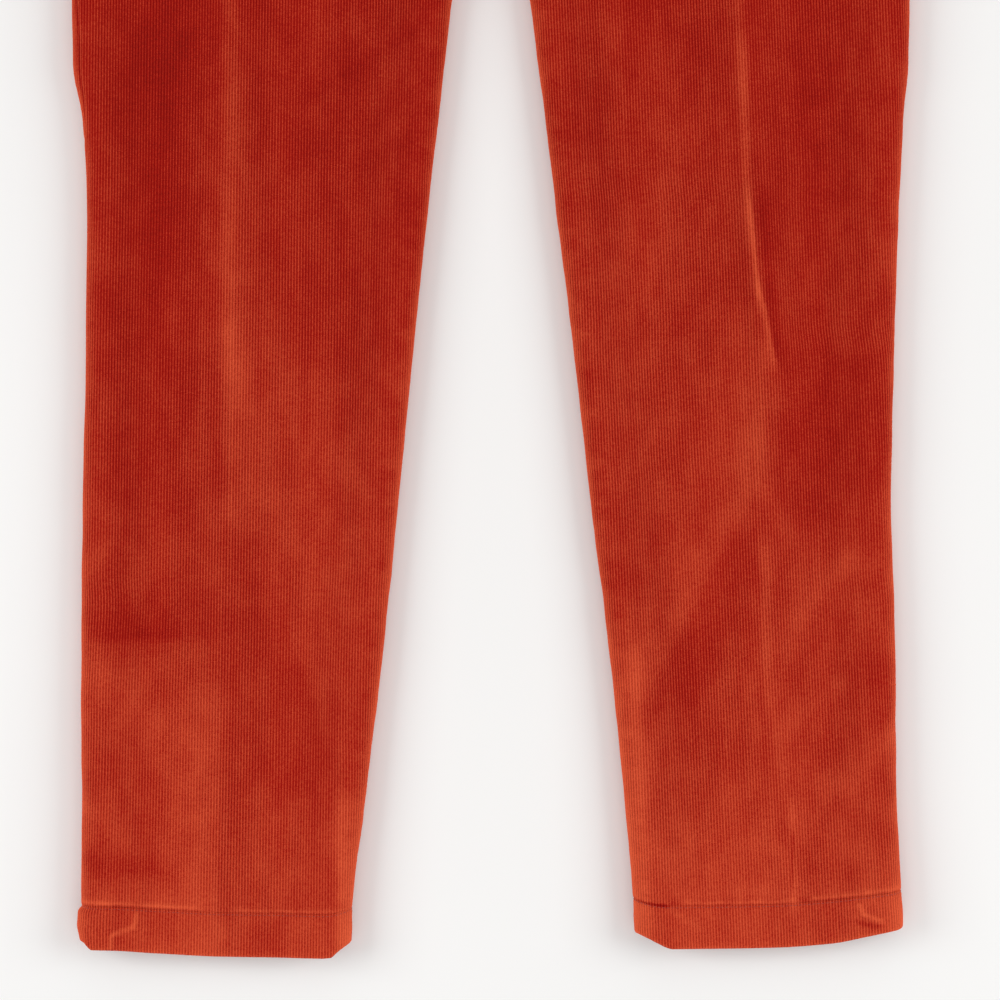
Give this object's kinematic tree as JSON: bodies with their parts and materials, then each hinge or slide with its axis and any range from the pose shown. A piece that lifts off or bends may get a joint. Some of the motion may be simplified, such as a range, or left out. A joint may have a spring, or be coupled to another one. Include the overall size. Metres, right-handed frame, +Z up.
{
  "type": "corduroy trousers",
  "caption": "Straight-leg corduroy trousers laid flat with the front up: stitched hems, pressed creases, slanted pockets, zip fly and a buttoned waistband with belt loops.",
  "frame": {"origin": "on the surface the trousers lie on, at the middle of their length and width", "axes": "+Y from the hems towards the waist, +Z up through the front, -X the wearer's right"},
  "size_m": [0.558, 1.015, 0.0256],
  "materials": {
    "corduroy": "fine vertical cords with a soft nap",
    "button": "polished imitation horn",
    "zip_tape": "woven tape with a closed coil"
  },
  "bodies": {
    "root": {"front_right": "corduroy", "front_left": "corduroy", "back_right": "corduroy", "back_left": "corduroy", "hem_right": "corduroy", "hem_left": "corduroy", "waistband_right": "corduroy", "waistband_left": "corduroy", "fly": "corduroy", "zip": "zip_tape", "button": "button", "pocket_facing_right": "corduroy", "pocket_facing_left": "corduroy", "belt_loop_front_right": "corduroy", "belt_loop_front_left": "corduroy", "belt_loop_back_right": "corduroy", "belt_loop_back_left": "corduroy", "belt_loop_back_centre": "corduroy"}
  },
  "joints": []
}
